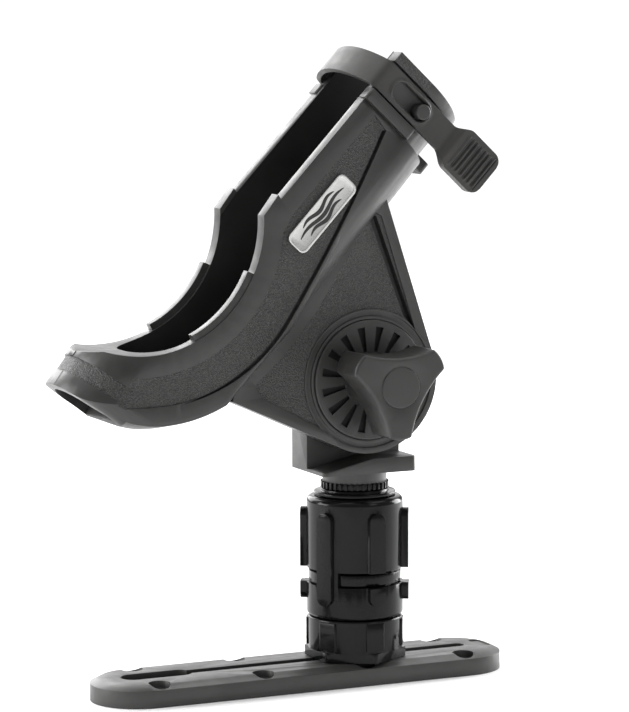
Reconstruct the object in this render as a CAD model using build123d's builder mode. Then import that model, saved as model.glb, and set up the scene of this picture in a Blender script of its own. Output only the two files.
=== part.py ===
from build123d import *
import math
import os

os.makedirs("parts", exist_ok=True)

# Rod holder: a T-slot track, a locking adapter that slides in it, a swivel post and a tilting cradle.
# Origin: middle of the track's underside. +X runs along the track, +Z is up, the tilt knob faces -Y.

# --- driving dimensions, in mm ---
track_length = 203.2
track_width = 44.4
track_height = 10.1
track_chamfer = 4.4
hole_pitch = 50.8
hole_y = 16.6
post_x = 28.5
hub_z = 141.0
clearance = 0.35

collar_r = 21.9
collar_bottom_z = 14.8
collar_top_z = 29.8
sleeve_r = 22.4
sleeve_bottom_z = 30.2
sleeve_top_z = 86.0
sleeve_bore_r = 17.6
core_r = 15.6
neck_r = 14.8
spigot_r = 9.0
window_z = 49.0
window_height = 7.0
flange_z = 97.6
flange_top_z = 104.5

tilt = 46.8
trough_mid_y = 6.5
trough_half = 28.5
bore_half = 21.5
near_y = trough_mid_y - trough_half
far_y = trough_mid_y + trough_half
gusset_near_y = -16.5
gusset_far_y = -1.0
bolt_r = 3.0
disc_r = 27.6
disc_slots = 16
knob_front_y = -49.0
knob_lobe_r = 23.5

strap_thick = 2.8
strap_from = 67.2
strap_to = 81.2
strap_mid = (strap_from + strap_to) / 2
peg_depth = 24.5
peg_r = 3.6


def side(y):
    """Sketch plane across the object at the given y; extruding goes toward -Y."""
    return Plane.XZ.offset(-y)


def hub(u, w):
    """Point of a side sketch, measured from the tilt axis."""
    return (post_x + u, hub_z + w)


def rim(s, d):
    """Point of a side sketch: s up along the straight rim from its step, d below the rim line."""
    a = math.radians(tilt)
    return hub(
        -46.2 + s * math.cos(a) + d * math.sin(a),
        84.2 + s * math.sin(a) - d * math.cos(a),
    )


def trough_plane(s):
    """Plane square to the trough at s along the rim: x is +Y, y is out of the open side."""
    x, z = rim(s, 0)
    a = math.radians(tilt)
    return Plane(origin=(x, trough_mid_y, z), x_dir=(0, -1, 0), z_dir=(math.cos(a), 0, math.sin(a)))


# --- track ---
slot_left = -88.0
slot_right = 85.0
mouth_right = -54.0
mouth_width = 12.0
channel_width = 12.8

with BuildPart() as track_plate:
    with BuildSketch():
        SlotOverall(track_length, track_width)
    extrude(amount=track_height)
    chamfer(track_plate.faces().sort_by(Axis.Z)[-1].edges(), length=2.2, length2=track_chamfer)
    with BuildSketch(Plane.XY.offset(track_height)):
        with Locations(((slot_left + slot_right) / 2, 0)):
            SlotOverall(slot_right - slot_left, 6.4)
        with Locations(((slot_left + mouth_right) / 2, 0)):
            SlotOverall(mouth_right - slot_left, mouth_width)
    extrude(amount=-7.7, mode=Mode.SUBTRACT)
    with BuildSketch(Plane.XY.offset(2.4)):
        with Locations(((slot_left + slot_right) / 2, 0)):
            SlotOverall(slot_right - slot_left + 1, channel_width)
    extrude(amount=4.4, mode=Mode.SUBTRACT)
    with BuildSketch(Plane.XY.offset(track_height)):
        with GridLocations(hole_pitch, 2 * hole_y, 4, 2):
            Circle(5.0)
    extrude(amount=-3.2, mode=Mode.SUBTRACT)
    with BuildSketch():
        with GridLocations(hole_pitch, 2 * hole_y, 4, 2):
            Circle(2.6)
    extrude(amount=track_height, mode=Mode.SUBTRACT)
    # shallow blank recess on the end of the plate
    with BuildSketch(Plane.XY.offset(track_height)):
        with Locations((slot_right + 8.5, 0)):
            RectangleRounded(5, 14, 1)
    extrude(amount=-0.5, mode=Mode.SUBTRACT)
track_plate.part.label = "track_plate"
export_step(track_plate.part, "parts/track_plate.step")

# --- clamping stack in the track ---
t_head_top = 6.4
t_bolt_top = 44.0
pocket_z = 24.0
pocket_r = 11.2

with BuildPart() as t_bolt:
    with BuildSketch(Plane.XY.offset(2.8)):
        with Locations((post_x, 0)):
            RectangleRounded(16.0, 11.4, 1.5)
    extrude(amount=t_head_top - 2.8)
    with BuildSketch(Plane.XY.offset(t_head_top)):
        with Locations((post_x, 0)):
            RectangleRounded(14.0, 5.6, 0.8)
    extrude(amount=3.2)
    with BuildSketch(Plane.XY.offset(t_head_top + 3.2)):
        with Locations((post_x, 0)):
            Circle(bolt_r)
    extrude(amount=t_bolt_top - t_head_top - 3.2)
    chamfer(t_bolt.faces().sort_by(Axis.Z)[-1].edges(), 0.8)
t_bolt.part.label = "t_bolt"
export_step(t_bolt.part, "parts/t_bolt.step")

with BuildPart() as clamp_washer:
    with BuildSketch(Plane.XY.offset(pocket_z)):
        with Locations((post_x, 0)):
            Circle(9.5)
            Circle(bolt_r + 0.2, mode=Mode.SUBTRACT)
    extrude(amount=1.8)
clamp_washer.part.label = "clamp_washer"
export_step(clamp_washer.part, "parts/clamp_washer.step")

with BuildPart() as clamp_nut:
    with BuildSketch(Plane.XY.offset(pocket_z + 1.8)):
        with Locations((post_x, 0)):
            RegularPolygon(5.5, 6, major_radius=False)
            Circle(bolt_r, mode=Mode.SUBTRACT)
    extrude(amount=5.5)
clamp_nut.part.label = "clamp_nut"
export_step(clamp_nut.part, "parts/clamp_nut.step")

# --- adapter base: six-sided foot and ribbed lower collar ---
foot_bottom_z = track_height + 0.3

with BuildPart() as adapter_base:
    with BuildSketch(Plane.XY.offset(foot_bottom_z)):
        with Locations((post_x, 0)):
            RegularPolygon(20.6, 6, major_radius=False, rotation=30)
    extrude(amount=collar_bottom_z - foot_bottom_z)
    fillet(adapter_base.edges().filter_by(Axis.Z), 2.0)
    with BuildSketch(Plane.XY.offset(collar_bottom_z)):
        with Locations((post_x, 0)):
            Circle(collar_r)
    extrude(amount=collar_top_z - collar_bottom_z)
    fillet(adapter_base.faces().sort_by(Axis.Z)[-1].edges(), 0.8)
    with BuildSketch(Plane.XY.offset(collar_bottom_z + 1.2)):
        with Locations((post_x, 0)):
            with PolarLocations(collar_r - 0.9, 6, start_angle=-30):
                RectangleRounded(2.8, 9.0, 0.6)
    extrude(amount=collar_top_z - collar_bottom_z - 2.4)
    with BuildSketch(Plane.XY.offset(foot_bottom_z)):
        with Locations((post_x, 0)):
            Circle(bolt_r + 0.25)
    extrude(amount=pocket_z, mode=Mode.SUBTRACT)
    with BuildSketch(Plane.XY.offset(pocket_z)):
        with Locations((post_x, 0)):
            Circle(pocket_r)
    extrude(amount=collar_top_z - pocket_z, mode=Mode.SUBTRACT)
adapter_base.part.label = "adapter_base"
export_step(adapter_base.part, "parts/adapter_base.step")

# --- socket core: the tube that the sleeve turns on and the post's spigot stands in ---
lip_z = 86.4
core_top_z = 89.2

with BuildPart() as socket_core:
    with BuildSketch(Plane.XY.offset(collar_top_z)):
        with Locations((post_x, 0)):
            Circle(core_r)
    extrude(amount=core_top_z - collar_top_z)
    with BuildSketch(Plane.XY.offset(lip_z)):
        with Locations((post_x, 0)):
            Circle(18.9)
    extrude(amount=1.6)
    with BuildSketch(Plane.XY.offset(collar_top_z)):
        with Locations((post_x, 0)):
            Circle(pocket_r)
    extrude(amount=20, mode=Mode.SUBTRACT)
    with BuildSketch(Plane.XY.offset(collar_top_z + 20)):
        with Locations((post_x, 0)):
            Circle(spigot_r + clearance)
    extrude(amount=core_top_z - collar_top_z - 20, mode=Mode.SUBTRACT)
    # retaining groove
    with BuildSketch(Plane.XY.offset(38)):
        with Locations((post_x, 0)):
            Circle(core_r)
            Circle(core_r - 1.0, mode=Mode.SUBTRACT)
    extrude(amount=2.4, mode=Mode.SUBTRACT)
socket_core.part.label = "socket_core"
export_step(socket_core.part, "parts/socket_core.step")

# --- locking sleeve ---
rib_count = 6
rib_low_z = 37.0
rib_high_z = 80.0
rib_width = 7.8
rib_height = 2.7


def rib_plane(turn):
    """Plane facing out of the sleeve at the given angle, 2 mm under its surface."""
    a = math.radians(turn)
    outward = (math.cos(a), math.sin(a), 0)
    foot = (post_x + (sleeve_r - 2) * outward[0], (sleeve_r - 2) * outward[1])
    return Plane((*foot, (rib_low_z + rib_high_z) / 2), (-outward[1], outward[0], 0), outward)


with BuildPart() as locking_sleeve:
    with BuildSketch(Plane.XY.offset(sleeve_bottom_z)):
        with Locations((post_x, 0)):
            Circle(sleeve_r)
    extrude(amount=sleeve_top_z - sleeve_bottom_z)
    fillet(locking_sleeve.edges().group_by(Axis.Z)[-1], 3.0)
    fillet(locking_sleeve.edges().group_by(Axis.Z)[0], 2.0)
    for rib in range(rib_count):
        with BuildSketch(rib_plane(360 / rib_count * rib - 30)):
            SlotOverall(rib_high_z - rib_low_z, rib_width, rotation=90)
        extrude(amount=rib_height + 2)
    # the window runs round the sleeve but leaves two opposite ribs whole
    with BuildSketch(Plane.XY.offset(window_z - window_height / 2)):
        with Locations((post_x, 0)):
            Circle(sleeve_r + 4)
            Circle(sleeve_bore_r, mode=Mode.SUBTRACT)
            Rectangle(60, 11, mode=Mode.SUBTRACT, rotation=30)
    extrude(amount=window_height, mode=Mode.SUBTRACT)
    with BuildSketch(Plane.XY.offset(sleeve_bottom_z)):
        with Locations((post_x, 0)):
            Circle(core_r + clearance)
    extrude(amount=sleeve_top_z - sleeve_bottom_z, mode=Mode.SUBTRACT)
    with BuildSketch(Plane.XY.offset(window_z - 7)):
        with Locations((post_x, 0)):
            Circle(sleeve_bore_r)
            Circle(core_r, mode=Mode.SUBTRACT)
    extrude(amount=14, mode=Mode.SUBTRACT)
locking_sleeve.part.label = "locking_sleeve"
export_step(locking_sleeve.part, "parts/locking_sleeve.step")

with BuildPart() as lock_ring:
    with BuildSketch(Plane.XY.offset(window_z - 6.8)):
        with Locations((post_x, 0)):
            Circle(sleeve_bore_r - 0.05)
            Circle(core_r + clearance, mode=Mode.SUBTRACT)
    extrude(amount=13.6)
    with BuildSketch(Plane.XY.offset(window_z - 2.8)):
        with Locations((post_x, 0)):
            Circle(sleeve_r - 1.0)
            Circle(sleeve_bore_r - 0.5, mode=Mode.SUBTRACT)
            Rectangle(60, 12, mode=Mode.SUBTRACT, rotation=30)
    extrude(amount=5.0)
lock_ring.part.label = "lock_ring"
export_step(lock_ring.part, "parts/lock_ring.step")

# --- post bracket: spigot, neck, flange and the upright cheek behind the cradle's gusset ---
cheek_near_y = 1.4
cheek_far_y = 18.0
cheek_half = 23.5
boss_r = 26.0
ratchet_r = 22.0
ratchet_inner_r = 12.0
spigot_bottom_z = 56.0

with BuildPart() as post_bracket:
    with BuildSketch(Plane.XY.offset(spigot_bottom_z)):
        with Locations((post_x, 0)):
            Circle(spigot_r)
    extrude(amount=flange_z - spigot_bottom_z)
    with BuildSketch(Plane.XY.offset(core_top_z + 3.4)):
        with Locations((post_x, 0)):
            Circle(neck_r)
    extrude(amount=flange_z - core_top_z - 3.4)
    with BuildSketch(Plane.XY.offset(flange_z)):
        with Locations((post_x, 0.5)):
            RectangleRounded(2 * cheek_half, 35, 2)
    extrude(amount=flange_top_z - flange_z)
    # ramp under the cradle's gusset, for tipping the nose down
    with BuildSketch(side(cheek_near_y)):
        with BuildLine():
            Polyline((post_x - 24, flange_z + 1.2), (post_x + 2, flange_top_z),
                     (post_x + 2, flange_top_z + 3), (post_x - 24, flange_top_z + 3), close=True)
        make_face()
    extrude(amount=20, mode=Mode.SUBTRACT)
    with BuildSketch(side(cheek_near_y)):
        with BuildLine():
            Polyline((post_x + cheek_half, flange_z), (post_x - cheek_half, flange_z),
                     hub(-cheek_half, -10), hub(cheek_half, -10), close=True)
        make_face()
        with Locations(hub(0, 0)):
            Circle(boss_r)
    extrude(amount=cheek_near_y - cheek_far_y)
    with BuildSketch(side(cheek_near_y)):
        with Locations(hub(0, 0)):
            Circle(bolt_r + 0.2)
    extrude(amount=cheek_near_y - cheek_far_y, mode=Mode.SUBTRACT)
    with BuildSketch(side(cheek_far_y)):
        with Locations(hub(0, 0)):
            RegularPolygon(6.6, 6, major_radius=False)
    extrude(amount=4.2, mode=Mode.SUBTRACT)
    with BuildSketch(side(cheek_near_y)):
        with Locations(hub(0, 0)):
            Circle(ratchet_r)
            Circle(ratchet_inner_r, mode=Mode.SUBTRACT)
    extrude(amount=-1.6, mode=Mode.SUBTRACT)
post_bracket.part.label = "post_bracket"
export_step(post_bracket.part, "parts/post_bracket.step")

with BuildPart() as gear_ring:
    with BuildSketch(Plane.XY.offset(core_top_z + 0.4)):
        with Locations((post_x, 0)):
            Circle(neck_r)
            with PolarLocations(neck_r, 36):
                Rectangle(2.0, 1.3)
            Circle(spigot_r, mode=Mode.SUBTRACT)
    extrude(amount=3.0)
gear_ring.part.label = "gear_ring"
export_step(gear_ring.part, "parts/gear_ring.step")


def ratchet_ring(face_y, toward):
    """Flat ring with radial teeth on the side that faces the other ring."""
    with BuildPart() as ring:
        with BuildSketch(side(face_y)):
            with Locations(hub(0, 0)):
                Circle(ratchet_r)
                Circle(ratchet_inner_r, mode=Mode.SUBTRACT)
        extrude(amount=1.0 * toward)
        with BuildSketch(side(face_y + -1.0 * toward)):
            with Locations(hub(0, 0)):
                with PolarLocations((ratchet_r + ratchet_inner_r) / 2, 36):
                    Rectangle(ratchet_r - ratchet_inner_r - 1, 1.1)
        extrude(amount=0.9 * toward)
    return ring.part


bracket_ratchet = ratchet_ring(cheek_near_y + 1.6, 1)
bracket_ratchet.label = "bracket_ratchet"
export_step(bracket_ratchet, "parts/bracket_ratchet.step")

cradle_ratchet = ratchet_ring(gusset_far_y - 1.6, -1)
cradle_ratchet.label = "cradle_ratchet"
export_step(cradle_ratchet, "parts/cradle_ratchet.step")

with BuildPart() as retaining_ring:
    with BuildSketch(Plane.XY.offset(spigot_bottom_z - 2.2)):
        with Locations((post_x, 0)):
            Circle(spigot_r)
            Circle(3.4, mode=Mode.SUBTRACT)
    extrude(amount=2.2)
retaining_ring.part.label = "retaining_ring"
export_step(retaining_ring.part, "parts/retaining_ring.step")

# --- tilt clamp: bolt, washer, slotted disc and three-lobed knob ---
bolt_tip_y = knob_front_y + 9
bolt_head_y = cheek_far_y - 0.2

with BuildPart() as clamp_bolt:
    with BuildSketch(side(bolt_head_y)):
        with Locations(hub(0, 0)):
            RegularPolygon(6.4, 6, major_radius=False)
    extrude(amount=3.8)
    with BuildSketch(side(bolt_head_y - 3.8)):
        with Locations(hub(0, 0)):
            Circle(bolt_r)
    extrude(amount=bolt_head_y - 3.8 - bolt_tip_y)
    chamfer(clamp_bolt.faces().sort_by(Axis.Y)[0].edges(), 0.8)
clamp_bolt.part.label = "clamp_bolt"
export_step(clamp_bolt.part, "parts/clamp_bolt.step")

disc_front_y = gusset_near_y - 1.0
disc_back_y = gusset_near_y + 2.0

with BuildPart() as slotted_disc:
    with BuildSketch(side(disc_back_y)):
        with Locations(hub(0, 0)):
            Circle(disc_r)
            Circle(bolt_r + clearance, mode=Mode.SUBTRACT)
    extrude(amount=disc_back_y - disc_front_y)
    fillet(slotted_disc.faces().sort_by(Axis.Y)[0].edges().sort_by(SortBy.RADIUS)[-1], 0.8)
    with BuildSketch(side(disc_front_y)):
        with Locations(hub(0, 0)):
            with PolarLocations(18.7, disc_slots, start_angle=11.25):
                Polygon((-5.7, -0.8), (5.7, -1.9), (5.7, 1.9), (-5.7, 0.8), align=None)
    extrude(amount=-1.8, mode=Mode.SUBTRACT)
slotted_disc.part.label = "slotted_disc"
export_step(slotted_disc.part, "parts/slotted_disc.step")

knob_back_y = disc_front_y - 0.4
knob_body_y = knob_front_y + 20
knob_cap_r = 9.5
knob_valley_r = 13.2
lobe_turn = 31.0
lobe_half_angle = 13.0


def knob_point(r, turn):
    """Point of the knob's outline in the side sketches, in polar form about the tilt axis."""
    return hub(r * math.cos(math.radians(turn)), r * math.sin(math.radians(turn)))


with BuildPart() as knob:
    with BuildSketch(side(knob_back_y)):
        with Locations(hub(0, 0)):
            Circle(12.4)
    extrude(amount=knob_back_y - knob_body_y)
    with BuildSketch(side(knob_body_y)):
        with BuildLine():
            for turn in (lobe_turn, lobe_turn + 120, lobe_turn + 240):
                ThreePointArc(knob_point(knob_lobe_r, turn - lobe_half_angle),
                              knob_point(knob_lobe_r + 0.5, turn),
                              knob_point(knob_lobe_r, turn + lobe_half_angle))
                ThreePointArc(knob_point(knob_lobe_r, turn + lobe_half_angle),
                              knob_point(knob_valley_r, turn + 60),
                              knob_point(knob_lobe_r, turn + 120 - lobe_half_angle))
        make_face()
    extrude(amount=knob_body_y - knob_front_y)
    fillet(knob.edges().filter_by(Axis.Y), 1.6)
    fillet(knob.faces().sort_by(Axis.Y)[0].edges(), 1.4)
    with BuildSketch(side(knob_front_y)):
        with Locations(hub(0, 0)):
            Circle(knob_cap_r)
    extrude(amount=-2.0, mode=Mode.SUBTRACT)
    with BuildSketch(side(knob_front_y + 4)):
        with Locations(hub(0, 0)):
            RegularPolygon(5.5, 6, major_radius=False)
    extrude(amount=-16, mode=Mode.SUBTRACT)
    with BuildSketch(side(knob_front_y + 4)):
        with Locations(hub(0, 0)):
            Circle(bolt_r + clearance)
    extrude(amount=-40, mode=Mode.SUBTRACT)
knob.part.label = "knob"
export_step(knob.part, "parts/knob.step")

with BuildPart() as knob_insert:
    with BuildSketch(side(knob_front_y + 20)):
        with Locations(hub(0, 0)):
            RegularPolygon(5.5, 6, major_radius=False)
            Circle(bolt_r + 0.05, mode=Mode.SUBTRACT)
    extrude(amount=16)
knob_insert.part.label = "knob_insert"
export_step(knob_insert.part, "parts/knob_insert.step")

with BuildPart() as knob_cap:
    with BuildSketch(side(knob_front_y + 2)):
        with Locations(hub(0, 0)):
            Circle(knob_cap_r)
    extrude(amount=2.4)
    fillet(knob_cap.faces().sort_by(Axis.Y)[0].edges(), 0.8)
knob_cap.part.label = "knob_cap"
export_step(knob_cap.part, "parts/knob_cap.step")

# --- cradle shell ---
trough_depth = 47.0
rim_end = 60.5
ring_from = 60.5
ring_to = 66.0
lip_from = 82.4
lip_to = 87.6
end_half = 27.0
lip_half = 30.2
bar_half = 31.2
floor_wall = 4.0
hub_plate_r = 34.0
gap_centre = hub(-112.5, 75.0)
gap_r = 58.0
gap_sweep = 107.0
band_width = 9.5
panel_depth = 0.7
groove_low = -2.0
groove_width = 1.8
groove_depth = 3.0
groove_start = hub(-96.0, -5.4)

mouth_axis = (0.605, 0, 0.796)
mouth_line = (-0.796, 0, 0.605)
mouth_height = 31.4
mouth_wall = 5.0
mouth_roll_r = 10.0
roll_lead = 20.0
nose_r = 26.0
nose_inner_r = 19.0
nose_run = 42.0
lip_length = 7.5
nose_field_length = 8.0
under_r = 20.0
under_tilt = 48.5
under_run = 118.4
panel_lift = 3.0
ledge_r = 2.5
mouth_top = hub(-145.6, 3.7)
mouth_plane = Plane((mouth_top[0], trough_mid_y, mouth_top[1]), (0, -1, 0), mouth_axis)


def underside(drop, run):
    """Underside from the mouth up the straight part, moved drop toward the inside; its two ends."""
    x, z = hub(-105.0, -18.0)
    front = CenterArc((x, z + 40.6), 40.6 - drop, -114, 24)
    back = CenterArc((x, z + 75.0), 75.0 - drop, -90, under_tilt)
    straight = Line(back @ 1, back @ 1 + (back % 1) * run)
    return front @ 0, straight @ 1


def panel_top_edge(drop):
    """Upper run of the side panel's lower edge, moved drop downward."""
    return ThreePointArc(
        hub(-42.2 + drop * 0.7, 25.4 - drop * 0.7),
        hub(-15.4 + drop, 69.2),
        hub(8.0 + drop, 113.6),
    )


def panel_edge(drop):
    """Lower edge of the textured field, moved drop downward."""
    upper = panel_top_edge(drop)
    low = hub(-105.2, -9.3 - drop * 1.6)
    ThreePointArc(hub(-121.7, -8.0 - drop), hub(-113.5, -9.0 - drop * 1.4), low)
    ThreePointArc(low, hub(-74.5 + drop * 0.4, -1.0 - drop), upper @ 0)


def groove_edge(drop):
    """One side of the groove over the gusset, moved drop downward: its two arcs."""
    upper = panel_top_edge(drop)
    return ThreePointArc(groove_start, hub(-66.0, 3.6 - drop), upper @ 0), upper


def low_centre(r):
    """Centre of an underside arc of radius r that touches the lowest point of the trough."""
    return hub(-105.0, -18.0 + r)


hollow_r = 18.0
hollow_front_r = 19.0
mouth_roof = (mouth_top[0] - mouth_line[0] * mouth_wall, mouth_top[1] - mouth_line[2] * mouth_wall)

# the trough's hollow: open above the rims, at the ring end and at the mouth
with BuildPart() as trough_hollow:
    with BuildSketch(side(trough_mid_y - bore_half)):
        with BuildLine():
            mouth_floor, ring_floor = underside(floor_wall, under_run + 34)
            Polyline(ring_floor, rim(100, -20), rim(-40, -45), hub(-112.0, 45.0),
                     hub(-112.0, 13.0), hub(-131.8, 13.0), mouth_roof, hub(-151.0, -10.5),
                     hub(-129.0, -27.0), mouth_floor)
        make_face()
    extrude(amount=-2 * bore_half)
    fillet(trough_hollow.edges().filter_by(Axis.Z).sort_by(Axis.X)[:2], hollow_front_r)
    with BuildLine(side(trough_mid_y)) as floor_path:
        underside(floor_wall, under_run + 36)
    floor_start = floor_path.line @ 0
    with BuildSketch(Plane(origin=floor_start, x_dir=(0, 1, 0), z_dir=floor_path.line % 0)):
        for edge_side in (1, -1):
            with Locations((edge_side * (bore_half - hollow_r / 2 + 1), hollow_r / 2 - 1)):
                Rectangle(hollow_r + 2, hollow_r + 2)
            with Locations((edge_side * (bore_half - hollow_r), hollow_r)):
                Circle(hollow_r, mode=Mode.SUBTRACT)
    sweep(path=floor_path.line, mode=Mode.SUBTRACT)
    # round roof inside the closed nose
    with BuildSketch(mouth_plane.offset(-mouth_roll_r)):
        for edge_side in (1, -1):
            roof_y = mouth_wall + nose_inner_r / 2
            with Locations((edge_side * (bore_half - nose_inner_r / 2 + 1), roof_y - 3)):
                Rectangle(nose_inner_r + 2, nose_inner_r + 6)
            with Locations((edge_side * (bore_half - nose_inner_r), mouth_wall + nose_inner_r)):
                Circle(nose_inner_r, mode=Mode.SUBTRACT)
    extrude(amount=nose_run, mode=Mode.SUBTRACT)

with BuildPart() as cradle_shell:
    # outer form: full-width body with a well rounded underside and a closed nose
    with BuildSketch(side(near_y)):
        with BuildLine():
            Line(rim(rim_end, 0), rim(0, 0))
            gap = CenterArc(gap_centre, gap_r, 2, -gap_sweep)
            Polyline(rim(0, 0), rim(0.6, -2.4), gap @ 0)
            mouth_low, ring_low = underside(0, under_run)
            Polyline(gap @ 1, hub(-135.0, 18.2), mouth_top, mouth_low)
            Line(ring_low, rim(rim_end, 0))
        make_face()
    extrude(amount=near_y - far_y)
    # round the underside's long edges by sweeping a corner strip along each
    with BuildLine(side(trough_mid_y)) as under_path:
        underside(0, under_run + 5)
    path_start = under_path.line @ 0
    with BuildSketch(Plane(origin=path_start, x_dir=(0, 1, 0), z_dir=under_path.line % 0)):
        for edge_side in (1, -1):
            with Locations((edge_side * (trough_half - under_r / 2 + 1), under_r / 2 - 1)):
                Rectangle(under_r + 2, under_r + 2)
            with Locations((edge_side * (trough_half - under_r), under_r)):
                Circle(under_r, mode=Mode.SUBTRACT)
    sweep(path=under_path.line, mode=Mode.SUBTRACT)
    # flat side panels stand out over the rounded underside
    for outer_y, inward in ((near_y, 1), (far_y, -1)):
        with BuildSketch(side(outer_y)):
            with BuildLine():
                upper = panel_top_edge(1.4)
                back = CenterArc(low_centre(75.0), 75.0 - panel_lift, -90, 27)
                front = CenterArc(low_centre(40.6), 40.6 - panel_lift, -114, 24)
                ThreePointArc(back @ 1, hub(-56.5, 9.6), upper @ 0)
                Polyline(front @ 0, hub(-129.5, -4.7), hub(-129.5, 10.0), hub(-112.5, 17.0),
                         hub(-70.0, 36.0), hub(-53.0, 76.0), rim(2, 0.3), rim(rim_end, 0.3),
                         upper @ 1)
            make_face()
            with Locations(gap_centre):
                Circle(gap_r, mode=Mode.SUBTRACT)
        extrude(amount=-9.0 * inward)
    ledges = cradle_shell.edges().filter_by(
        lambda e: abs(abs(e.center().Y - trough_mid_y) - trough_half) < 0.01
        and e.geom_type == GeomType.CIRCLE
        and (e.center() - Vector(gap_centre[0], e.center().Y, gap_centre[1])).length > gap_r + 6
    )
    fillet(ledges, ledge_r)
    # round the nose's upper corners along the mouth's axis
    with BuildSketch(mouth_plane.offset(-4)):
        for edge_side in (1, -1):
            with Locations((edge_side * (trough_half - nose_r / 2 + 1), nose_r / 2 - 1)):
                Rectangle(nose_r + 2, nose_r + 2)
            with Locations((edge_side * (trough_half - nose_r), nose_r)):
                Circle(nose_r, mode=Mode.SUBTRACT)
    extrude(amount=nose_run, mode=Mode.SUBTRACT)
    # roll the mouth's side edges inward
    roll_start = Vector(*mouth_plane.origin) - Vector(*mouth_line) * (mouth_height + roll_lead)
    with BuildSketch(Plane(roll_start, (0, -1, 0), mouth_line)):
        for edge_side in (1, -1):
            with Locations((edge_side * (trough_half - mouth_roll_r / 2 + 1), mouth_roll_r / 2 - 1)):
                Rectangle(mouth_roll_r + 2, mouth_roll_r + 2)
            with Locations((edge_side * (trough_half - mouth_roll_r), mouth_roll_r)):
                Circle(mouth_roll_r, mode=Mode.SUBTRACT)
    extrude(amount=roll_lead + mouth_height + 8, mode=Mode.SUBTRACT)
    # let-in band round the nose, behind its lip
    with BuildSketch(mouth_plane.offset(lip_length)):
        with Locations((0, 7.5)):
            Rectangle(2 * trough_half + 4, 33)
        with Locations((0, 30 + panel_depth)):
            RectangleRounded(2 * (trough_half - panel_depth), 60, nose_r - panel_depth, mode=Mode.SUBTRACT)
    extrude(amount=nose_field_length, mode=Mode.SUBTRACT)
    # ring end: tube with two flange bars, an end lip and a stop lug under it
    with BuildSketch(trough_plane(rim_end - 3)):
        with Locations((0, (trough_depth - end_half) / 2)):
            Rectangle(2 * end_half, trough_depth - end_half)
        with Locations((0, trough_depth - end_half)):
            Circle(end_half)
    extrude(amount=lip_to - rim_end + 3)
    with BuildSketch(trough_plane(lip_from)):
        with Locations((0, (trough_depth - end_half) / 2 - 0.5)):
            Rectangle(2 * lip_half, trough_depth - end_half + 1)
        with Locations((0, trough_depth - end_half)):
            Circle(lip_half)
    extrude(amount=lip_to - lip_from)
    with BuildSketch(trough_plane(ring_from)):
        with Locations((-bar_half + 4, 13.5), (bar_half - 4, 13.5)):
            RectangleRounded(8, 29, 1.5)
        with Locations((0, trough_depth - 1.5)):
            RectangleRounded(16, 16, 2)
    extrude(amount=ring_to - ring_from)
    # gusset plate down to the round hub plate
    with BuildSketch(side(gusset_near_y)):
        with BuildLine():
            Polyline(hub(-68.0, -6.4), hub(-16.6, -29.7), hub(31.4, 12.9), hub(7.6, 85.6),
                     hub(9.4, 96.0), hub(17.0, 107.5), hub(-8.0, 104.0), hub(-60.0, 20.0),
                     close=True)
        make_face()
        with Locations(hub(0, 0)):
            Circle(hub_plate_r)
    extrude(amount=gusset_near_y - gusset_far_y)
    add(trough_hollow.part, mode=Mode.SUBTRACT)
    # raised strips on both rims of the reel's gap
    for outer_y, inward in ((near_y + 0.8, 1), (far_y - 0.8, -1)):
        with BuildSketch(side(outer_y)):
            with BuildLine():
                low_arc = CenterArc(gap_centre, gap_r + 1, -24, -41)
                high_arc = CenterArc(gap_centre, gap_r - 3.0, -24, -41)
                Line(low_arc @ 0, high_arc @ 0)
                Line(low_arc @ 1, high_arc @ 1)
            make_face()
        extrude(amount=-4.6 * inward)
    # textured field of the near and far side panels, let into the surface
    for outer_y, inward in ((near_y, 1), (far_y, -1)):
        with BuildSketch(side(outer_y)):
            with BuildLine():
                panel_edge(-2.2)
                band = CenterArc(gap_centre, gap_r + band_width, -5, -99)
                Polyline(hub(5.8, 113.6), rim(rim_end - 2, 9.0), rim(-1.5, 9.0), band @ 0)
                Polyline(band @ 1, hub(-132.0, 0.0), hub(-121.7, -5.8))
            make_face()
        extrude(amount=-panel_depth * inward, mode=Mode.SUBTRACT)
    # deep groove along the near panel's lower edge, above the gusset
    with BuildSketch(side(near_y)):
        with BuildLine():
            low_line = groove_edge(groove_low)
            high_line = groove_edge(groove_low - groove_width)
            Line(low_line[1] @ 1, high_line[1] @ 1)
        make_face()
    extrude(amount=-groove_depth, mode=Mode.SUBTRACT)
    # gusset field and the deep groove inside its free edge
    with BuildSketch(side(gusset_near_y)):
        with BuildLine():
            Polyline(hub(2.0, 77.5), hub(-26.0, 33.0), hub(-42.0, 14.0), hub(-57.0, 0.5),
                     hub(-54.0, -5.5), hub(-17.0, -25.0), hub(26.4, 12.0), hub(6.2, 74.5),
                     close=True)
        make_face()
        fillet(vertices(), 1.2)
        with Locations(hub(0, 0)):
            Circle(hub_plate_r - 1.6, mode=Mode.SUBTRACT)
    extrude(amount=-panel_depth, mode=Mode.SUBTRACT)
    with BuildSketch(side(gusset_near_y)):
        with BuildLine():
            Polyline(hub(3.0, 76.8), hub(0.6, 73.0), hub(17.4, 28.4), hub(23.4, 21.4), close=True)
        make_face()
        fillet(vertices().group_by(Axis.Y)[-1], 1.4)
    extrude(amount=-5.0, mode=Mode.SUBTRACT)
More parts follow.
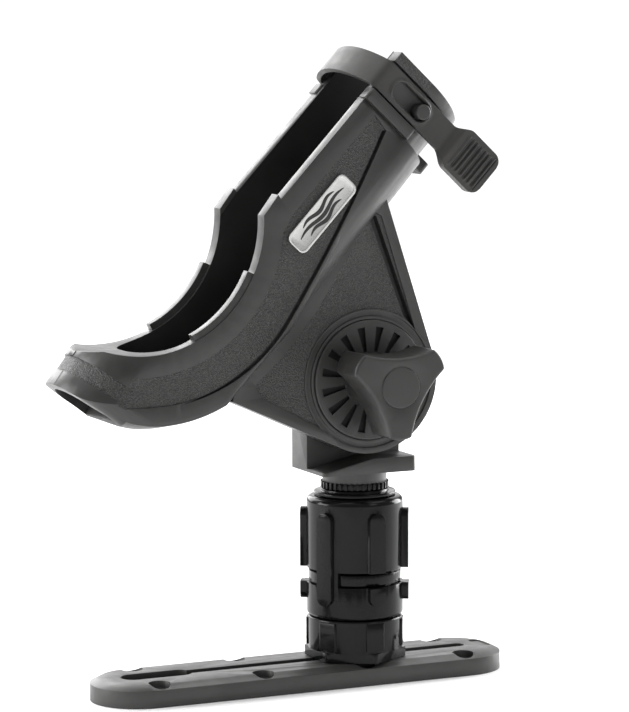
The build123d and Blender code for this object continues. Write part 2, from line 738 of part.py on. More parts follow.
    # hub: recess for the slotted disc, bolt bore and seat of the ratchet ring
    with BuildSketch(side(gusset_near_y)):
        with Locations(hub(0, 0)):
            Circle(hub_plate_r - 2.6)
            Circle(disc_r + 1.6, mode=Mode.SUBTRACT)
    extrude(amount=-1.0, mode=Mode.SUBTRACT)
    with BuildSketch(side(gusset_near_y)):
        with Locations(hub(0, 0)):
            Circle(disc_r + 0.3)
    extrude(amount=gusset_near_y - disc_back_y, mode=Mode.SUBTRACT)
    with BuildSketch(side(gusset_near_y)):
        with Locations(hub(0, 0)):
            Circle(bolt_r + clearance)
    extrude(amount=gusset_near_y - gusset_far_y, mode=Mode.SUBTRACT)
    with BuildSketch(side(gusset_far_y)):
        with Locations(hub(0, 0)):
            Circle(ratchet_r)
            Circle(ratchet_inner_r, mode=Mode.SUBTRACT)
    extrude(amount=1.6, mode=Mode.SUBTRACT)
    # bores of the strap's peg and of its anchor screw
    peg_x, peg_z = rim(strap_mid, peg_depth)
    with BuildSketch(side(trough_mid_y - end_half)):
        with Locations((peg_x, peg_z)):
            Circle(peg_r - 1.2)
    extrude(amount=-3.5, mode=Mode.SUBTRACT)
    with BuildSketch(side(trough_mid_y + end_half)):
        with Locations((peg_x, peg_z)):
            Circle(2.0)
    extrude(amount=3.5, mode=Mode.SUBTRACT)
cradle_shell.part.label = "cradle_shell"
export_step(cradle_shell.part, "parts/cradle_shell.step")

# --- badge: plain silver plate with a raised rim, let on to the near panel ---
badge_x, badge_z = rim(8.6, 19.5)
badge_plane = Plane(
    origin=(badge_x, near_y + panel_depth, badge_z),
    x_dir=(math.cos(math.radians(tilt)), 0, math.sin(math.radians(tilt))),
    z_dir=(0, -1, 0),
)
badge_length = 40.0
badge_height = 11.5

with BuildPart() as badge:
    with BuildSketch(badge_plane):
        RectangleRounded(badge_length, badge_height, 3.2)
    extrude(amount=1.3)
    with BuildSketch(badge_plane.offset(1.3)):
        RectangleRounded(badge_length - 2.0, badge_height - 2.0, 2.4)
    extrude(amount=-0.3, mode=Mode.SUBTRACT)
badge.part.label = "badge"
export_step(badge.part, "parts/badge.step")

# --- rubber strap over the ring end: fixed band, and the flap that hooks on the peg ---
strap_in = end_half + 0.4
strap_out = strap_in + strap_thick
crest_in = 8.6
strap_plane = trough_plane(strap_from)
strap_width = strap_to - strap_from
peg_reach = 6.6

with BuildPart() as strap_band:
    with BuildSketch(strap_plane):
        with BuildLine():
            Line((-strap_in, 30), (-strap_in, -1))
            ThreePointArc((-strap_in, -1), (0, -crest_in), (strap_in, -1))
            Line((strap_in, -1), (strap_out, -1))
            ThreePointArc((strap_out, -1), (0, -crest_in - strap_thick), (-strap_out, -1))
            Polyline((-strap_out, -1), (-strap_out, 30), (-strap_in, 30))
        make_face()
    extrude(amount=strap_width)
    with BuildSketch(side(trough_mid_y + end_half)):
        with Locations((peg_x, peg_z)):
            Circle(2.0)
    extrude(amount=-6, mode=Mode.SUBTRACT)
strap_band.part.label = "strap_band"
export_step(strap_band.part, "parts/strap_band.step")

slot_top = 6.5
slot_width = 9.2
tab_top = 47.0
tab_size = 22.0
flap_plane = Plane(
    origin=(rim(strap_mid, 0)[0], trough_mid_y - strap_in, rim(strap_mid, 0)[1]),
    x_dir=(math.cos(math.radians(tilt)), 0, math.sin(math.radians(tilt))),
    z_dir=(0, -1, 0),
)

with BuildPart() as strap_flap:
    with BuildSketch(flap_plane):
        with Locations((0, -(0.2 - 0.9 + tab_top + 3) / 2)):
            Rectangle(strap_width, tab_top + 3 - 0.2 + 0.9 - 1.4)
        with Locations((0, -(slot_top + peg_depth + peg_r + 0.9) / 2)):
            Rectangle(slot_width, peg_depth - slot_top + peg_r - slot_width / 2, mode=Mode.SUBTRACT)
        with Locations((0, -peg_depth), (0, -slot_top - slot_width / 2)):
            Circle(slot_width / 2, mode=Mode.SUBTRACT)
    extrude(amount=strap_thick)
    with BuildSketch(flap_plane):
        with Locations((0, -tab_top - tab_size / 2)):
            RectangleRounded(tab_size, tab_size + 2, 5)
    extrude(amount=5.0)
    with BuildSketch(flap_plane.offset(5.0)):
        with Locations((0, -tab_top - tab_size / 2)):
            with GridLocations(0, 2.7, 1, 7):
                Rectangle(tab_size - 6, 1.1)
    extrude(amount=0.9)
strap_flap.part.label = "strap_flap"
export_step(strap_flap.part, "parts/strap_flap.step")

with BuildPart() as strap_peg:
    with BuildSketch(side(trough_mid_y - end_half + 3.5)):
        with Locations((peg_x, peg_z)):
            Circle(peg_r - 1.2)
    extrude(amount=3.5)
    with BuildSketch(side(trough_mid_y - end_half)):
        with Locations((peg_x, peg_z)):
            Circle(peg_r)
    extrude(amount=peg_reach)
    fillet(strap_peg.faces().sort_by(Axis.Y)[0].edges(), 0.8)
strap_peg.part.label = "strap_peg"
export_step(strap_peg.part, "parts/strap_peg.step")

with BuildPart() as strap_anchor:
    with BuildSketch(side(trough_mid_y + end_half - 3.5)):
        with Locations((peg_x, peg_z)):
            Circle(2.0)
    extrude(amount=-(3.5 + 0.4 + strap_thick))
    with BuildSketch(side(trough_mid_y + strap_out)):
        with Locations((peg_x, peg_z)):
            Circle(4.2)
    extrude(amount=-2.4)
    fillet(strap_anchor.faces().sort_by(Axis.Y)[-1].edges(), 1.2)
strap_anchor.part.label = "strap_anchor"
export_step(strap_anchor.part, "parts/strap_anchor.step")
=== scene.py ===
import math

import bmesh
import bpy
from mathutils import Matrix, Vector


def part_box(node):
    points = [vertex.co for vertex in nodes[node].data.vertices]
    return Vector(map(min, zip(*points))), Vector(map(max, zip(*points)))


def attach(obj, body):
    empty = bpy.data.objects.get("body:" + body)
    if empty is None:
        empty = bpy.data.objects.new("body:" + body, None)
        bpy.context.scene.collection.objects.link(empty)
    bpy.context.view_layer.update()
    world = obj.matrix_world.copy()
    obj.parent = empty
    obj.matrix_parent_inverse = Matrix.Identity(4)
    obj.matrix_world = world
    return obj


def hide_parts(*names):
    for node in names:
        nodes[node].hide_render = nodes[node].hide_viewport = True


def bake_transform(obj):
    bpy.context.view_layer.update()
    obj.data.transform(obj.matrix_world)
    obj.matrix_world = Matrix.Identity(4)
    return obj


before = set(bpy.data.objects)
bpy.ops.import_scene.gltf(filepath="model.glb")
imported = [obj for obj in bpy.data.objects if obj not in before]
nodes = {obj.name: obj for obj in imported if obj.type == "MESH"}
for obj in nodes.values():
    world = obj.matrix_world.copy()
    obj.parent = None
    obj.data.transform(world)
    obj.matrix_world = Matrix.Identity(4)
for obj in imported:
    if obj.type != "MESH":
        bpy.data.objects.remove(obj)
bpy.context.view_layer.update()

# Places in metres: +X along the track, +Z up, the knob toward -Y. The frame gives the post and the hub.
MM = 0.001
POST_X = sum(corner[0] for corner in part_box("gear_ring")) / 2
HUB_Z = sum(corner[2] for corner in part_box("knob_cap")) / 2
TILT = math.radians(46.8)
RIM_STEP_X = POST_X - 46.2 * MM
RIM_STEP_Z = HUB_Z + 84.2 * MM
TROUGH_MID_Y = 6.5 * MM


def rim(s, d):
    """Point of the side view: s mm up the straight rim from its step, d mm below the rim line."""
    x = RIM_STEP_X + (s * math.cos(TILT) + d * math.sin(TILT)) * MM
    z = RIM_STEP_Z + (s * math.sin(TILT) - d * math.cos(TILT)) * MM
    return x, z


def across(s, side, d):
    """Point on the trough at s, side mm from its middle plane toward the knob, d mm below the rims."""
    x, z = rim(s, d)
    return Vector((x, TROUGH_MID_Y - side * MM, z))


# --- materials ---
def shader(name, colour, rough, metal=0.0):
    mat = bpy.data.materials.new(name)
    mat.use_nodes = True
    bsdf = mat.node_tree.nodes["Principled BSDF"]
    bsdf.inputs["Base Color"].default_value = (*colour, 1)
    bsdf.inputs["Roughness"].default_value = rough
    bsdf.inputs["Metallic"].default_value = metal
    return mat, bsdf


def noise(mat, scale, detail, stretch=None):
    """Value of a noise on the object's own axes, stretched along them where asked."""
    tree = mat.node_tree
    coords = tree.nodes.new("ShaderNodeTexCoord")
    tex = tree.nodes.new("ShaderNodeTexNoise")
    tex.inputs["Scale"].default_value = scale
    tex.inputs["Detail"].default_value = detail
    source = coords.outputs["Object"]
    if stretch:
        mapping = tree.nodes.new("ShaderNodeMapping")
        mapping.inputs["Scale"].default_value = stretch
        tree.links.new(source, mapping.inputs["Vector"])
        source = mapping.outputs["Vector"]
    tree.links.new(source, tex.inputs["Vector"])
    return tex.outputs["Fac"]


def ramp(mat, value, low, high, start=0.3, end=0.7):
    """Colour that goes from low to high as the value goes from start to end."""
    tree = mat.node_tree
    node = tree.nodes.new("ShaderNodeValToRGB")
    node.color_ramp.elements[0].position = start
    node.color_ramp.elements[0].color = (*low, 1)
    node.color_ramp.elements[1].position = end
    node.color_ramp.elements[1].color = (*high, 1)
    tree.links.new(value, node.inputs["Fac"])
    return node.outputs["Color"]


def rough_range(mat, bsdf, value, low, high):
    """Lets the roughness follow a noise value from low to high."""
    tree = mat.node_tree
    node = tree.nodes.new("ShaderNodeMapRange")
    node.inputs["From Min"].default_value = 0.3
    node.inputs["From Max"].default_value = 0.7
    node.inputs["To Min"].default_value = low
    node.inputs["To Max"].default_value = high
    tree.links.new(value, node.inputs["Value"])
    tree.links.new(node.outputs["Result"], bsdf.inputs["Roughness"])


def bump(mat, bsdf, heights, distance):
    """Stacks bump nodes: heights is a list of (height output, strength), distance is in metres."""
    tree = mat.node_tree
    normal = None
    for height, strength in heights:
        node = tree.nodes.new("ShaderNodeBump")
        node.inputs["Strength"].default_value = strength
        node.inputs["Distance"].default_value = distance
        tree.links.new(height, node.inputs["Height"])
        if normal:
            tree.links.new(normal, node.inputs["Normal"])
        normal = node.outputs["Normal"]
    tree.links.new(normal, bsdf.inputs["Normal"])


def moulded(name, low, high, rough, grain=0.12, shine=0.5):
    """Moulded nylon or rubber: fine orange-peel, faint cloudiness and small changes of gloss."""
    mat, bsdf = shader(name, high, rough)
    bsdf.inputs["Specular IOR Level"].default_value = shine
    cloud = noise(mat, 35.0, 5.0)
    mat.node_tree.links.new(ramp(mat, cloud, low, high), bsdf.inputs["Base Color"])
    rough_range(mat, bsdf, noise(mat, 160.0, 3.0), rough - 0.05, rough + 0.07)
    fine_peel = noise(mat, 2600.0, 2.0)
    broad_peel = noise(mat, 420.0, 2.0)
    bump(mat, bsdf, [(fine_peel, grain), (broad_peel, grain * 0.5)], 0.2 * MM)
    return mat


def pebbled(name, low, high):
    """Spark-eroded leather-like field: rounded pebbles about 0.7 mm across, with painted shade darkening
    the pits between them.
    """
    mat, bsdf = shader(name, high, 0.5)
    tree = mat.node_tree
    coords = tree.nodes.new("ShaderNodeTexCoord")
    warp = tree.nodes.new("ShaderNodeTexNoise")
    warp.inputs["Scale"].default_value = 500.0
    mix = tree.nodes.new("ShaderNodeMixRGB")
    mix.blend_type = "LINEAR_LIGHT"
    mix.inputs["Fac"].default_value = 0.0006
    cells = tree.nodes.new("ShaderNodeTexVoronoi")
    cells.feature = "SMOOTH_F1"
    cells.inputs["Scale"].default_value = 1500.0
    cells.inputs["Smoothness"].default_value = 0.6
    tree.links.new(coords.outputs["Object"], warp.inputs["Vector"])
    tree.links.new(coords.outputs["Object"], mix.inputs["Color1"])
    tree.links.new(warp.outputs["Color"], mix.inputs["Color2"])
    tree.links.new(mix.outputs["Color"], cells.inputs["Vector"])
    height = tree.nodes.new("ShaderNodeMath")
    height.operation = "SUBTRACT"
    height.inputs[0].default_value = 1.0
    tree.links.new(cells.outputs["Distance"], height.inputs[1])
    # painted shade: the colour darkens from the pebbles' tops into the pits between them
    tree.links.new(ramp(mat, height.outputs["Value"], low, high, 0.35, 0.8), bsdf.inputs["Base Color"])
    rough_range(mat, bsdf, noise(mat, 900.0, 2.0), 0.42, 0.6)
    bump(mat, bsdf, [(height.outputs["Value"], 0.75), (noise(mat, 1500.0, 2.0), 0.25)], 0.5 * MM)
    return mat


def metal(name, colour, rough, brushed=(1, 1, 1)):
    """Satin metal with a fine grain, which brushed stretches."""
    mat, bsdf = shader(name, colour, rough, metal=1.0)
    grain = noise(mat, 900.0, 3.0, brushed)
    rough_range(mat, bsdf, grain, rough - 0.06, rough + 0.1)
    bump(mat, bsdf, [(grain, 0.08)], 0.1 * MM)
    return mat


SMOOTH = moulded("smooth_nylon", (0.021, 0.0205, 0.0197), (0.032, 0.031, 0.030), 0.38)
FIELD = pebbled("pebbled_nylon", (0.018, 0.0175, 0.017), (0.046, 0.045, 0.043))
TRACK = moulded("track_nylon", (0.030, 0.029, 0.028), (0.044, 0.043, 0.0415), 0.38)
# painted shade: a darker, duller copy of the nylon, put on the trough's hollow and the disc's slots
# where shade falls
PAINTED_SHADE = moulded("painted_shade_nylon", (0.010, 0.010, 0.0098), (0.016, 0.016, 0.0155), 0.5, shine=0.22)
GLOSSY = moulded("collar_nylon", (0.0035, 0.0035, 0.004), (0.007, 0.007, 0.0075), 0.15, 0.03, shine=0.17)
KNOB = moulded("knob_nylon", (0.018, 0.0175, 0.0167), (0.027, 0.026, 0.025), 0.40)
RUBBER = moulded("strap_rubber", (0.023, 0.022, 0.021), (0.034, 0.033, 0.031), 0.50, 0.2)
SILVER = metal("badge_silver", (0.56, 0.56, 0.55), 0.30, (1, 1, 6))
STEEL = metal("stainless_steel", (0.20, 0.20, 0.205), 0.36)
MARK = moulded("badge_mark", (0.012, 0.012, 0.012), (0.02, 0.02, 0.02), 0.4)

# each node's finish, and the width in mm of the rounding on its sharp edges
NODE_LOOKS = {
    "track_plate": (TRACK, 0.5),
    "adapter_base": (GLOSSY, 0.5),
    "socket_core": (GLOSSY, 0.4),
    "locking_sleeve": (GLOSSY, 0.8),
    "lock_ring": (GLOSSY, 0.3),
    "gear_ring": (GLOSSY, 0.15),
    "post_bracket": (SMOOTH, 0.8),
    "bracket_ratchet": (SMOOTH, 0.1),
    "cradle_ratchet": (SMOOTH, 0.1),
    "cradle_shell": (SMOOTH, 0.7),
    "slotted_disc": (KNOB, 0.25),
    "knob": (KNOB, 0.7),
    "knob_cap": (KNOB, 0.2),
    "knob_insert": (STEEL, 0.1),
    "badge": (SILVER, 0.3),
    "strap_peg": (SMOOTH, 0.3),
    "strap_anchor": (STEEL, 0.3),
    "t_bolt": (STEEL, 0.2),
    "clamp_washer": (STEEL, 0.2),
    "clamp_nut": (STEEL, 0.3),
    "retaining_ring": (STEEL, 0.2),
    "clamp_bolt": (STEEL, 0.3),
}


def soften(obj, width_mm):
    """Welds the imported faces and rounds the sharp edges."""
    weld = obj.modifiers.new("weld", "WELD")
    weld.merge_threshold = 0.01 * MM
    bevel = obj.modifiers.new("soft_edges", "BEVEL")
    bevel.width = width_mm * MM
    bevel.segments = 3
    bevel.limit_method = "ANGLE"
    bevel.angle_limit = math.radians(28)
    bevel.miter_outer = "MITER_ARC"
    bevel.harden_normals = True
    for polygon in obj.data.polygons:
        polygon.use_smooth = True


for node_name, (look, edge_mm) in NODE_LOOKS.items():
    node = nodes[node_name]
    node.data.materials.clear()
    node.data.materials.append(look)
    soften(node, edge_mm)


# --- the finishes of single faces, and painted shade in the trough's hollow ---
# planes of the let-in fields: near and far panel, gusset, and the two sides of the end lip
FIELD_PLANES = [y * MM for y in (-21.3, 34.3, -15.8, -23.7, 36.7)]
# the band round the nose is let in from the first to the second of these distances behind the mouth
NOSE_FIELD = (7.4 * MM, 15.6 * MM)
NOSE_FIELD_END_X = POST_X - 115.6 * MM
MOUTH_TOP = Vector((POST_X - 145.6 * MM, 0, HUB_Z + 3.7 * MM))
MOUTH_AXIS = Vector((0.605, 0, 0.796))
# the hollow: a nose part up to NOSE_END_X and a straight part, each round its own middle
NOSE_END_X = POST_X - 60 * MM
NOSE_MIDDLE = Vector((POST_X - 105 * MM, TROUGH_MID_Y, HUB_Z + 6 * MM))
STRAIGHT_MIDDLE = across(28, 0, 22)
STRAIGHT_DEPTH = (1 * MM, 52 * MM)
BORE_HALF = 21.5 * MM
# how far off its plane or past the bore a face may lie
PLANE_SLACK = 0.04 * MM
BORE_SLACK = 0.1 * MM
# material slots: plain nylon, pebbled field, and the painted shade of the hollow
PLAIN_SLOT, FIELD_SLOT, SHADE_SLOT = 0, 1, 2


def on_let_in_field(polygon, vertices):
    """True for the flat floors of the let-in fields and for the let-in band round the nose."""
    off_planes = min(abs(polygon.center.y - y) for y in FIELD_PLANES)
    if abs(polygon.normal.y) > 0.999 and off_planes < PLANE_SLACK:
        return True
    along = [(vertices[i].co - MOUTH_TOP).dot(MOUTH_AXIS) for i in polygon.vertices]
    round_nose = abs(polygon.normal.dot(MOUTH_AXIS)) < 0.5 and polygon.center.x < NOSE_FIELD_END_X
    return round_nose and NOSE_FIELD[0] < min(along) and max(along) < NOSE_FIELD[1]


def in_hollow(polygon):
    """True for the walls and the floor of the trough's hollow, which face its middle line."""
    centre = polygon.center
    offset = centre.y - TROUGH_MID_Y
    if abs(offset) >= BORE_HALF + BORE_SLACK or polygon.normal.y * offset > 0:
        return False
    if centre.x < NOSE_END_X:
        return polygon.normal.dot(NOSE_MIDDLE - centre) > 0
    below_rim = (centre - across(0, 0, 0)).dot(Vector((math.sin(TILT), 0, -math.cos(TILT))))
    within_depth = STRAIGHT_DEPTH[0] < below_rim < STRAIGHT_DEPTH[1]
    return within_depth and polygon.normal.dot(STRAIGHT_MIDDLE - centre) > 0


def texture_and_shade_cradle(node):
    """Gives the let-in fields their pebbled finish and paints shade into the hollow with the darker copy
    of the nylon.
    """
    node.data.materials.append(FIELD)
    node.data.materials.append(PAINTED_SHADE)
    for polygon in node.data.polygons:
        if on_let_in_field(polygon, node.data.vertices):
            polygon.material_index = FIELD_SLOT
        else:
            polygon.material_index = SHADE_SLOT if in_hollow(polygon) else PLAIN_SLOT


DISC_SLOTS_REACH = 25.5 * MM
DISC_SLOTS_SINK = 0.3 * MM


def darken_slots(node):
    """Gives the sunk floors and walls of the disc's slots painted shade, the darker copy of the nylon.
    """
    node.data.materials.append(PAINTED_SHADE)
    front = min(vertex.co.y for vertex in node.data.vertices)
    for polygon in node.data.polygons:
        reach = math.hypot(polygon.center.x - POST_X, polygon.center.z - HUB_Z)
        sunk = polygon.center.y > front + DISC_SLOTS_SINK
        # painted shade on the sunk faces of the slots
        polygon.material_index = 1 if sunk and reach < DISC_SLOTS_REACH else 0


texture_and_shade_cradle(nodes["cradle_shell"])
darken_slots(nodes["slotted_disc"])


def place_mesh(name, bm, look):
    """Turns a bmesh into an object of one material in the scene."""
    mesh = bpy.data.meshes.new(name)
    bm.to_mesh(mesh)
    bm.free()
    mesh.materials.append(look)
    obj = bpy.data.objects.new(name, mesh)
    bpy.context.scene.collection.objects.link(obj)
    return obj


# --- rubber strap: one ribbon from the far side over the trough to the pull tab, sizes in mm ---
# where the ribbon runs: its middle up the rim, its sides, its crown above the rims and its two ends
STRAP_MID_S = 74.2
SIDE_OUT = 28.75
CREST_D = -10.0
CORNER_D = -1.6
FAR_END_D = 30.0
TAB_END_D = 70.0
EASING_ROUNDS = 14
# its section, and the tab, which flares out and thickens below the long hole
STRAP_HALF = 7.0
HALF_THICK = 1.25
TAB_TOP_D = 45.5
TAB_HALF = 11.0
TAB_CORNER_R = 5.0
TAB_RAISE = 2.6
FLARE_FROM_D, FLARE_LENGTH = TAB_TOP_D - 4, 9
THICKENS_FROM_D, THICKENS_LENGTH = TAB_TOP_D - 3, 4
# the long hole, and the bead round it
HOLE_TOP_D = 6.8
HOLE_END_D = 28.4
HOLE_R = 4.5
BEAD_RAISE = 1.0
BEAD_OFF = 0.7
BEAD_SPREAD = 0.65
BEAD_FROM_D = HOLE_TOP_D - 4
# the grip ridges across the tab; their width and the margin past the end ones are shares of the pitch
RIDGES = 7
RIDGE_FROM_D = 50.2
RIDGE_PITCH = 2.7
RIDGE_RAISE = 0.55
RIDGE_HALF = TAB_HALF - 2.6
RIDGE_HALF_SHARE = 0.22
RIDGE_MARGIN = 0.3
# the ribbon's columns, as shares of the way from the long hole's edge to the ribbon's edge
WIDTH_SHARES = (0.0, 0.12, 0.3, 0.5, 0.68, 0.78, 0.9, 1.0)
MIDDLE_GAP = len(WIDTH_SHARES) - 1
LAST_COLUMN = 2 * len(WIDTH_SHARES) - 1
STRIPS = [k for k in range(LAST_COLUMN) if k != MIDDLE_GAP]


def strap_line():
    """Middle line of the ribbon as (side, d) points about 0.6 mm apart, with its corners eased."""
    points = []
    radius = (SIDE_OUT ** 2 + (CORNER_D - CREST_D) ** 2) / (2 * (CORNER_D - CREST_D))
    half_turn = math.asin(SIDE_OUT / radius)
    for k in range(50):
        points.append((-SIDE_OUT, FAR_END_D + (CORNER_D - FAR_END_D) * k / 50))
    for k in range(101):
        a = half_turn * (k / 50 - 1)
        points.append((radius * math.sin(a), CREST_D + radius * (1 - math.cos(a))))
    for k in range(1, 126):
        points.append((SIDE_OUT, CORNER_D + (TAB_END_D - CORNER_D) * k / 125))
    for _ in range(EASING_ROUNDS):
        middle = [((a[0] + 2 * b[0] + c[0]) / 4, (a[1] + 2 * b[1] + c[1]) / 4)
                  for a, b, c in zip(points, points[1:], points[2:])]
        points = [points[0], *middle, points[-1]]
    return points


def eased(t):
    """Smooth step from 0 at t = 0 to 1 at t = 1, level before and after."""
    t = min(max(t, 0.0), 1.0)
    return t * t * (3 - 2 * t)


def ribbon_half(d):
    """Half width of the near side at depth d: strap, then the tab with its rounded corners."""
    flare = eased((d - FLARE_FROM_D) / FLARE_LENGTH)
    into_corner = TAB_CORNER_R - (TAB_END_D - d)
    corner = 0.0
    if into_corner > 0:
        corner = TAB_CORNER_R - math.sqrt(max(0.0, TAB_CORNER_R ** 2 - into_corner ** 2))
    return STRAP_HALF + (TAB_HALF - STRAP_HALF) * flare - corner


def past_hole_line(d):
    """How far depth d lies past the ends of the long hole's middle line, 0 between them."""
    return d - min(max(d, HOLE_TOP_D + HOLE_R), HOLE_END_D - HOLE_R)


def hole_half(d):
    """Half width of the long hole at depth d."""
    return math.sqrt(max(0.0, HOLE_R ** 2 - past_hole_line(d) ** 2))


def raised(d, w):
    """Outward height, at depth d and w off the middle, of the bead, the thick tab and its ridges."""
    height = TAB_RAISE * eased((d - THICKENS_FROM_D) / THICKENS_LENGTH)
    if d > BEAD_FROM_D:
        off_hole = math.hypot(past_hole_line(d), w) - HOLE_R
        height += BEAD_RAISE * math.exp(-((off_hole - BEAD_OFF) / BEAD_SPREAD) ** 2)
    step = (d - RIDGE_FROM_D) / RIDGE_PITCH
    if -RIDGE_MARGIN < step < RIDGES - 1 + RIDGE_MARGIN and abs(w) < RIDGE_HALF:
        on_ridge = abs(step - round(step)) < RIDGE_HALF_SHARE
        height += RIDGE_RAISE if on_ridge else -RIDGE_RAISE
    return height


def strap_stations(points):
    """Stations along the ribbon: (side, d, unit normal pointing out, depth on the near side).

    The depth is minus infinity on the far side and the crown, where the ribbon is plain.
    """
    stations = []
    for i, (side, d) in enumerate(points):
        before = points[max(i - 1, 0)]
        after = points[min(i + 1, len(points) - 1)]
        tangent = Vector((after[0] - before[0], after[1] - before[1])).normalized()
        depth = d if side > SIDE_OUT - 1 else -math.inf
        stations.append((side, d, (tangent.y, -tangent.x), depth))
    return stations


def strap_row(bm, side, d, out, depth):
    """Vertices across the ribbon at one station, and the long hole's half width there."""
    half = ribbon_half(depth)
    hole = hole_half(depth)
    widths = [-(hole + (half - hole) * share) for share in reversed(WIDTH_SHARES)]
    widths += [hole + (half - hole) * share for share in WIDTH_SHARES]
    outer, inner = [], []
    for w in widths:
        for row, height in ((outer, HALF_THICK + raised(depth, w)), (inner, -HALF_THICK)):
            place = across(STRAP_MID_S + w, side + out[0] * height, d + out[1] * height)
            row.append(bm.verts.new(place))
    return outer, inner, hole


def join_rows(bm, row_a, row_b):
    """Faces between two rows: both skins, the ribbon's edges and the walls of the long hole."""
    outer_a, inner_a, hole_a = row_a
    outer_b, inner_b, hole_b = row_b
    for k in STRIPS:
        bm.faces.new((outer_a[k], outer_a[k + 1], outer_b[k + 1], outer_b[k]))
        bm.faces.new((inner_a[k + 1], inner_a[k], inner_b[k], inner_b[k + 1]))
    walls = [0, LAST_COLUMN]
    if max(hole_a, hole_b) > 0:
        walls += [MIDDLE_GAP, MIDDLE_GAP + 1]
    for k in walls:
        bm.faces.new((outer_a[k], outer_b[k], inner_b[k], inner_a[k]))


def make_strap():
    """Builds the ribbon row by row, joins the rows and closes both ends."""
    bm = bmesh.new()
    rows = [strap_row(bm, *station) for station in strap_stations(strap_line())]
    for row_a, row_b in zip(rows, rows[1:]):
        join_rows(bm, row_a, row_b)
    for outer, inner, _ in (rows[0], rows[-1]):
        for k in STRIPS:
            bm.faces.new((outer[k], outer[k + 1], inner[k + 1], inner[k]))
    bmesh.ops.remove_doubles(bm, verts=bm.verts, dist=0.02 * MM)
    bmesh.ops.dissolve_degenerate(bm, dist=0.01 * MM, edges=bm.edges)
    bmesh.ops.recalc_face_normals(bm, faces=bm.faces)
    strap = place_mesh("strap", bm, RUBBER)
    soften(strap, 0.35)
    return strap


# the strap, one ribbon over the near rim, stands in for the strap band and the flap
strap = make_strap()
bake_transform(strap)
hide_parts("strap_band", "strap_flap")


# --- badge: three plain dark waves on the silver plate, sizes in mm ---
BADGE_S, BADGE_D = 8.6, 19.5
BADGE_FACE_Y = -22.3
WAVE_PITCH = 2.6
WAVE_SWING = 0.85
WAVE_TURNS = 1.5
WAVE_THICK = 0.22
WAVE_HALF, WAVE_TIP_HALF = 1.0, 0.15
WAVE_STEPS = 40
LONG_WAVE, SHORT_WAVE = 31, 22


def badge_point(u, v, out):
    """Point on the badge: u along the rim, v toward the rim, out of the plate's face."""
    x, z = rim(BADGE_S + u, BADGE_D - v)
    return Vector((x, (BADGE_FACE_Y - out) * MM, z))


def make_wave(name, shift, length):
    """Raised wave, shift mm off the badge's middle line, that narrows toward both ends."""
    bm = bmesh.new()
    section = ((-1, 0.0), (-0.7, WAVE_THICK), (0.7, WAVE_THICK), (1, 0.0))
    rings = []
    for i in range(WAVE_STEPS + 1):
        t = i / WAVE_STEPS
        u = (t - 0.5) * length
        v = shift + WAVE_SWING * math.sin(t * math.tau * WAVE_TURNS)
        half = WAVE_TIP_HALF + (WAVE_HALF - WAVE_TIP_HALF) * math.sin(math.pi * t) ** 0.6
        rings.append([bm.verts.new(badge_point(u, v + side * half, out)) for side, out in section])
    for a, b in zip(rings, rings[1:]):
        for k in range(len(section)):
            after = (k + 1) % len(section)
            bm.faces.new((a[k], a[after], b[after], b[k]))
    bm.faces.new(rings[0])
    bm.faces.new(list(reversed(rings[-1])))
    bmesh.ops.recalc_face_normals(bm, faces=bm.faces)
    wave = place_mesh(name, bm, MARK)
    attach(wave, "cradle")


make_wave("wave_high", WAVE_PITCH, SHORT_WAVE)
make_wave("wave_middle", 0.0, LONG_WAVE)
make_wave("wave_low", -WAVE_PITCH, SHORT_WAVE)

# --- floor, light and camera ---
FLOOR_SIZE = 160.0
SUN_WIDTH = math.radians(70)


def white_floor():
    """Floor so wide that it is the backdrop too."""
    bm = bmesh.new()
    bmesh.ops.create_grid(bm, x_segments=2, y_segments=2, size=FLOOR_SIZE / 2)
    look, _ = shader("pale_floor", (0.95, 0.95, 0.95), 0.8)
    place_mesh("floor", bm, look)


def area_light(name, place, target, size, power):
    """Square window of light that faces the target."""
    data = bpy.data.lights.new(name, "AREA")
    data.shape = "SQUARE"
    data.size = size
    data.energy = power
    light = bpy.data.objects.new(name, data)
    light.location = place
    light.rotation_euler = (Vector(target) - Vector(place)).to_track_quat("-Z", "Y").to_euler()
    bpy.context.scene.collection.objects.link(light)


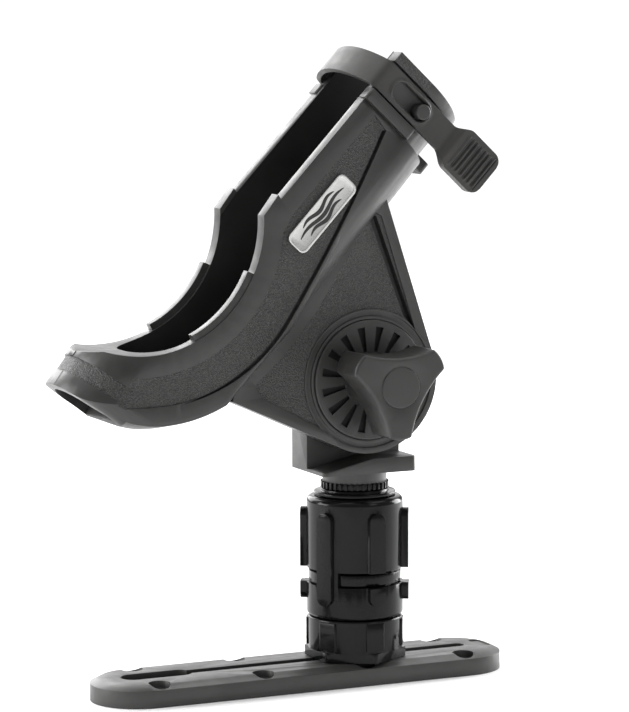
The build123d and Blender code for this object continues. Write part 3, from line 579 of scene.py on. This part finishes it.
def wide_sun(name, toward, strength):
    """Very soft sun, which lights the whole floor evenly."""
    data = bpy.data.lights.new(name, "SUN")
    data.energy = strength
    data.angle = SUN_WIDTH
    light = bpy.data.objects.new(name, data)
    light.rotation_euler = Vector(toward).to_track_quat("Z", "Y").to_euler()
    bpy.context.scene.collection.objects.link(light)


def white_world(strength):
    world = bpy.data.worlds.new("studio")
    world.use_nodes = True
    background = world.node_tree.nodes["Background"]
    background.inputs["Color"].default_value = (1, 1, 1, 1)
    background.inputs["Strength"].default_value = strength
    bpy.context.scene.world = world


def photo_camera():
    """Long lens, 24.6 degrees to the left of the knob side and a little above the object."""
    turn = math.radians(24.64)
    pitch = math.radians(6.79)
    roll = math.radians(-0.24)
    distance = 1.5101
    aim = Vector((0.00843, 0, 0.15116))
    level = math.cos(pitch)
    ahead = Vector((math.sin(turn) * level, math.cos(turn) * level, -math.sin(pitch)))
    right = Vector((math.cos(turn), -math.sin(turn), 0))
    up = right.cross(ahead)
    x_axis = math.cos(roll) * right + math.sin(roll) * up
    y_axis = -math.sin(roll) * right + math.cos(roll) * up
    data = bpy.data.cameras.new("camera")
    data.sensor_width = 36
    data.lens = 166.9
    data.clip_end = 100
    camera = bpy.data.objects.new("camera", data)
    turned = Matrix((x_axis, y_axis, -ahead)).transposed().to_4x4()
    camera.matrix_world = Matrix.Translation(aim - ahead * distance) @ turned
    bpy.context.scene.collection.objects.link(camera)
    bpy.context.scene.camera = camera


white_floor()
white_world(0.3)
wide_sun("sun_left", (-1.0, 0.35, 0.9), 0.55)
wide_sun("sun_back", (0.25, 1.0, 0.75), 1.3)
wide_sun("sun_top", (0.1, 0.0, 1.0), 1.5)
area_light("back_window", (-0.3, 1.9, 1.0), (0, 0, 0.15), 1.5, 30)
area_light("left_window", (-1.5, 0.5, 0.6), (0, 0, 0.15), 0.9, 24)
area_light("right_window", (1.4, 0.25, 0.4), (0, 0, 0.1), 0.8, 26)
area_light("key_window", (0.7, -1.5, 1.1), (0, 0, 0.15), 0.5, 2.5)
photo_camera()
bpy.context.scene.view_settings.view_transform = "Standard"
